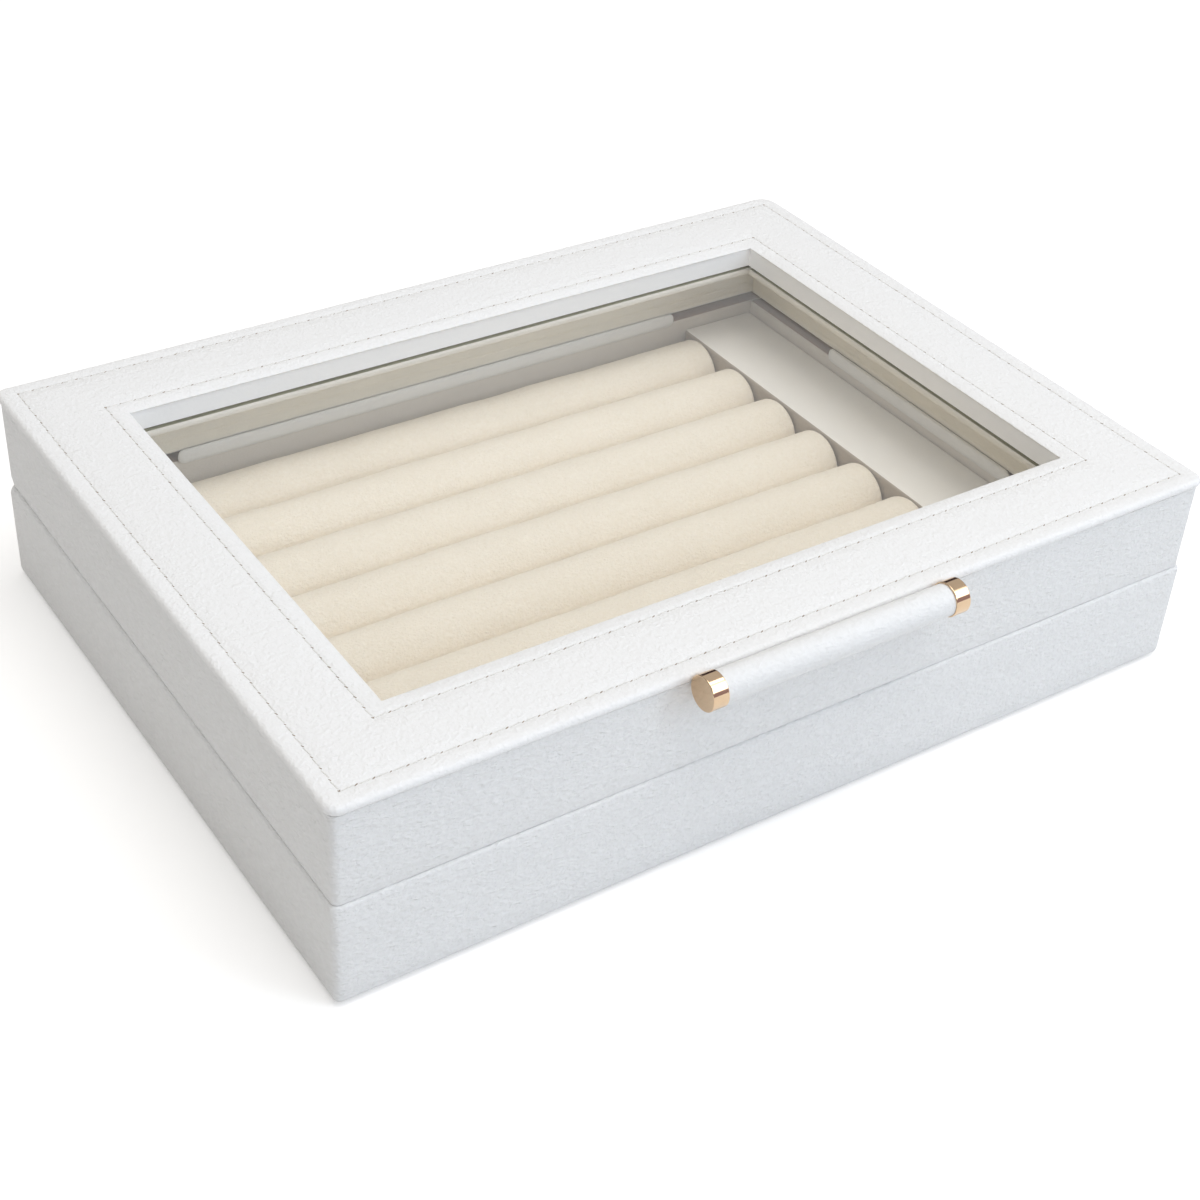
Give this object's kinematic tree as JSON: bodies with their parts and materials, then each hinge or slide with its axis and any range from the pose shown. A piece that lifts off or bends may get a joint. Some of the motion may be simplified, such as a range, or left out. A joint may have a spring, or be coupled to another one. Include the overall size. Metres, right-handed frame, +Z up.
{
  "type": "ring display box",
  "caption": "Low leatherette case with a hinged glass-window lid, a bar handle with metal caps, and velvet ring rolls in its tray",
  "frame": {"origin": "on the resting face under the middle of the base", "axes": "+X to the right as seen from the handle side and along the rolls; +Y to the back, where the hinges are; +Z up"},
  "size_m": [0.2518, 0.1958, 0.0598],
  "materials": {
    "leatherette": "white pebble-grained imitation leather, satin",
    "board": "brown fibreboard, raw",
    "felt": "pale pressed felt",
    "rim_strip": "off-white covered strip, smooth",
    "roll_velvet": "cream velvet over foam, short nap",
    "lining_velvet": "cream velvet on board, short nap",
    "glass": "clear float glass",
    "cap_metal": "polished rose-gold plate",
    "dowel": "plain turned wood",
    "hinge_metal": "nickel-plated steel"
  },
  "bodies": {
    "base": {"base_board": "board", "base_wall_front": "board", "base_wall_back": "board", "base_wall_left": "board", "base_wall_right": "board", "base_wrap": "leatherette", "base_felt": "felt", "base_liner_front": "lining_velvet", "base_liner_back": "lining_velvet", "base_liner_left": "lining_velvet", "base_liner_right": "lining_velvet", "floor_lining": "lining_velvet", "rim_strip_front": "rim_strip", "rim_strip_back": "rim_strip", "rim_strip_left": "rim_strip", "rim_strip_right": "rim_strip", "ring_ledge_left": "lining_velvet", "ring_ledge_right": "lining_velvet", "ring_roll_1": "roll_velvet", "ring_roll_2": "roll_velvet", "ring_roll_3": "roll_velvet", "ring_roll_4": "roll_velvet", "ring_roll_5": "roll_velvet", "ring_roll_6": "roll_velvet", "ring_roll_7": "roll_velvet", "ring_roll_8": "roll_velvet", "hinge_base_leaf_left": "hinge_metal", "hinge_base_leaf_right": "hinge_metal", "hinge_pin_left": "hinge_metal", "hinge_pin_right": "hinge_metal", "hinge_base_screws": "hinge_metal"},
    "lid": {"lid_wall_front": "board", "lid_wall_back": "board", "lid_wall_left": "board", "lid_wall_right": "board", "lid_wrap": "leatherette", "lid_board_front": "board", "lid_board_back": "board", "lid_board_left": "board", "lid_board_right": "board", "lid_cover": "leatherette", "window_lining": "leatherette", "glass_pane": "glass", "glass_retainer_front": "lining_velvet", "glass_retainer_back": "lining_velvet", "glass_retainer_left": "lining_velvet", "glass_retainer_right": "lining_velvet", "lid_liner_front": "lining_velvet", "lid_liner_back": "lining_velvet", "lid_liner_left": "lining_velvet", "lid_liner_right": "lining_velvet", "handle_dowel": "dowel", "handle_wrap": "leatherette", "handle_cap_left": "cap_metal", "handle_cap_right": "cap_metal", "hinge_lid_leaf_left": "hinge_metal", "hinge_lid_leaf_right": "hinge_metal", "hinge_lid_screws": "hinge_metal"}
  },
  "joints": [
    {"name": "lid_hinge", "type": "hinge", "parent": "base", "child": "lid", "pos_m": [0, 0.091, 0.0296], "axis": [-1, 0, 0], "range_deg": [0, 100]}
  ]
}
